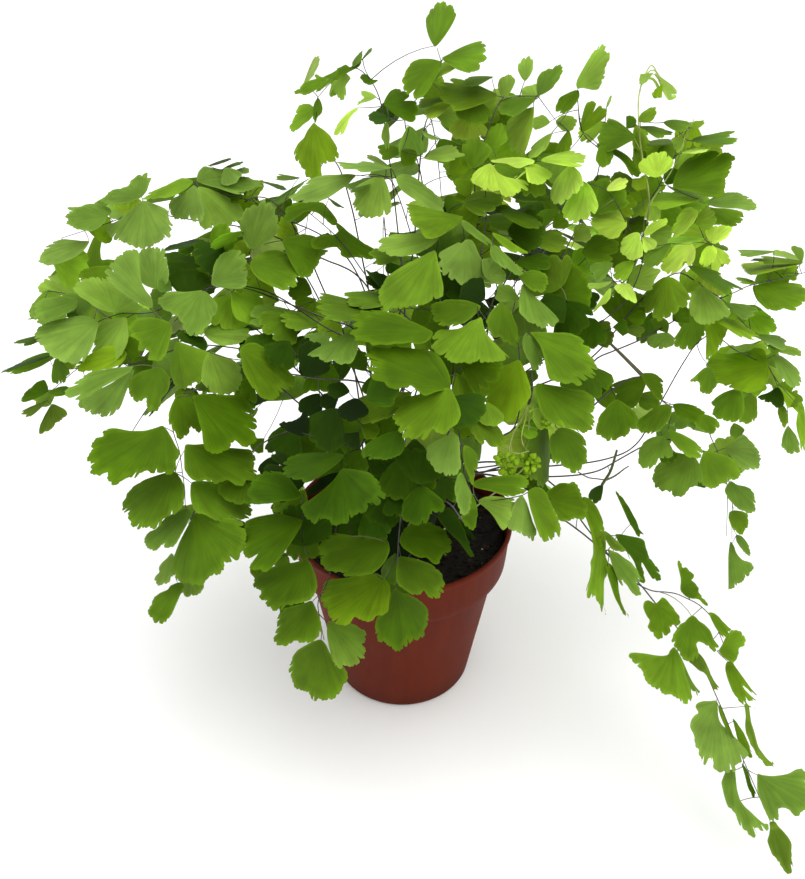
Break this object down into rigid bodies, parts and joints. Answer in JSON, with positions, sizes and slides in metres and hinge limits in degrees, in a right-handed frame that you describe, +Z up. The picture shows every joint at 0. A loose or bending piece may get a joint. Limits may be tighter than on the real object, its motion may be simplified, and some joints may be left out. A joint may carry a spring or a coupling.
{
  "type": "potted maidenhair fern",
  "caption": "Maidenhair fern in a round plastic nursery pot: wiry dark stalks rise from a creeping rootstock and carry airy sprays of fan-shaped leaflets.",
  "frame": {"origin": "middle of the pot's flat underside, on the surface it stands on", "axes": "+Z up along the pot's axis; -Y is the side the picture looks at, so +X is its right"},
  "size_m": [0.3771, 0.3278, 0.3171],
  "materials": {
    "pot_plastic": "matt moulded terracotta-brown plastic",
    "potting_soil": "moist dark peat and bark crumbs",
    "rootstock_fibre": "dark fibrous rootstock",
    "leaf_deep_green": "satin leaf",
    "leaf_mid_green": "satin leaf",
    "leaf_young_green": "soft translucent young leaf"
  },
  "bodies": {
    "root": {"pot": "pot_plastic", "potting_soil": "potting_soil", "rootstock": "rootstock_fibre", "frond_01": "leaf_mid_green", "frond_02": "leaf_mid_green", "frond_03": "leaf_mid_green", "frond_04": "leaf_deep_green", "frond_05": "leaf_deep_green", "frond_06": "leaf_mid_green", "frond_07": "leaf_deep_green", "frond_08": "leaf_mid_green", "frond_09": "leaf_mid_green", "frond_10": "leaf_mid_green", "frond_11": "leaf_mid_green", "frond_12": "leaf_mid_green", "frond_13": "leaf_mid_green", "frond_14": "leaf_mid_green", "frond_15": "leaf_mid_green", "frond_16": "leaf_mid_green", "frond_17": "leaf_mid_green", "frond_18": "leaf_young_green", "frond_19": "leaf_mid_green", "frond_20": "leaf_mid_green", "frond_21": "leaf_mid_green", "frond_22": "leaf_young_green", "frond_23": "leaf_young_green", "frond_24": "leaf_young_green", "frond_25": "leaf_mid_green", "frond_26": "leaf_mid_green", "frond_27": "leaf_mid_green", "frond_28": "leaf_deep_green", "frond_29": "leaf_mid_green", "frond_30": "leaf_mid_green", "frond_31": "leaf_deep_green", "frond_32": "leaf_deep_green", "frond_33": "leaf_deep_green", "frond_34": "leaf_mid_green", "frond_35": "leaf_mid_green", "frond_36": "leaf_mid_green", "frond_37": "leaf_deep_green", "frond_38": "leaf_mid_green", "frond_39": "leaf_mid_green", "frond_40": "leaf_mid_green", "frond_41": "leaf_mid_green", "frond_42": "leaf_deep_green", "frond_43": "leaf_deep_green", "frond_44": "leaf_mid_green", "unfurling_frond_01": "leaf_young_green", "unfurling_frond_02": "leaf_young_green"}
  },
  "joints": []
}
